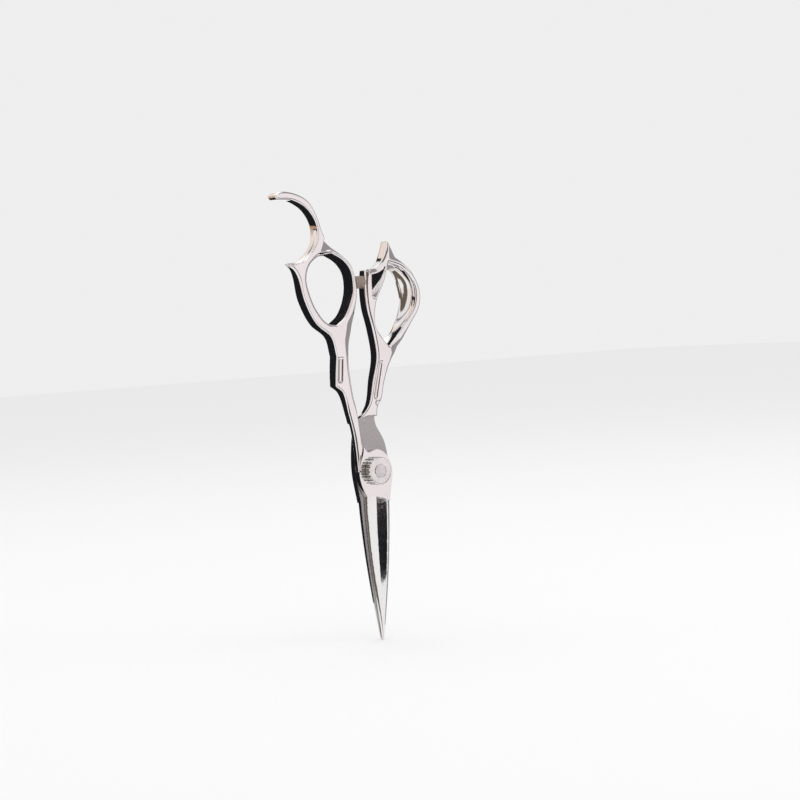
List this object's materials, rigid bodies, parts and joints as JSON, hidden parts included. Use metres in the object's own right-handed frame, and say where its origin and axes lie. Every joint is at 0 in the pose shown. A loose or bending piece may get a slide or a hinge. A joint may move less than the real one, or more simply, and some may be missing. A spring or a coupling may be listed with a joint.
{
  "type": "hair cutting shears",
  "caption": "Hair cutting shears with offset oval rings, a curved little-finger rest, a rubber stop and a notched tension dial at the pivot.",
  "frame": {"origin": "on the pivot axis, in the plane where the two halves ride on each other", "axes": "+Z from the pivot along the closed blades towards the rings, so the points are at -Z; +X towards the thumb ring; -Y is the side with the tension dial"},
  "size_m": [0.0666, 0.0088, 0.1728],
  "materials": {
    "polished_steel": "mirror polished",
    "ground_steel": "satin ground",
    "bumper_rubber": "matte",
    "hardware_steel": "polished",
    "glide_plastic": "matte",
    "bush_bronze": "turned",
    "bearing_steel": "ground",
    "cage_brass": "stamped",
    "spring_steel": "blued grey",
    "dial_steel": "turned and polished"
  },
  "bodies": {
    "finger_half": {"finger_handle": "polished_steel", "finger_blade": "ground_steel", "glide_washer": "glide_plastic", "pivot_bush": "bush_bronze", "lower_race": "bearing_steel"},
    "thumb_half": {"thumb_handle": "polished_steel", "thumb_blade": "ground_steel", "bumper": "bumper_rubber", "pivot_bolt": "hardware_steel", "upper_race": "bearing_steel", "spring_washer": "spring_steel", "click_plate": "spring_steel", "lock_screw": "hardware_steel"},
    "dial": {"tension_dial": "dial_steel"},
    "bearing_cage": {"ball_cage": "cage_brass", "bearing_balls": "bearing_steel"}
  },
  "joints": [
    {"name": "pivot", "type": "hinge", "parent": "finger_half", "child": "thumb_half", "pos_m": [0, 0, 0], "axis": [0, 1, 0], "range_deg": [0, 100]},
    {"name": "tension", "type": "hinge", "parent": "thumb_half", "child": "dial", "pos_m": [0, -0.0045, 0], "axis": [0, -1, 0], "range_deg": [-90, 90]},
    {"name": "cage_spin", "type": "hinge", "parent": "finger_half", "child": "bearing_cage", "pos_m": [0, -0.0023, 0], "axis": [0, 1, 0], "range_deg": [0, 50]}
  ],
  "couplings": [
    {"joint": "cage_spin", "follows": "pivot", "ratio": 0.5}
  ]
}
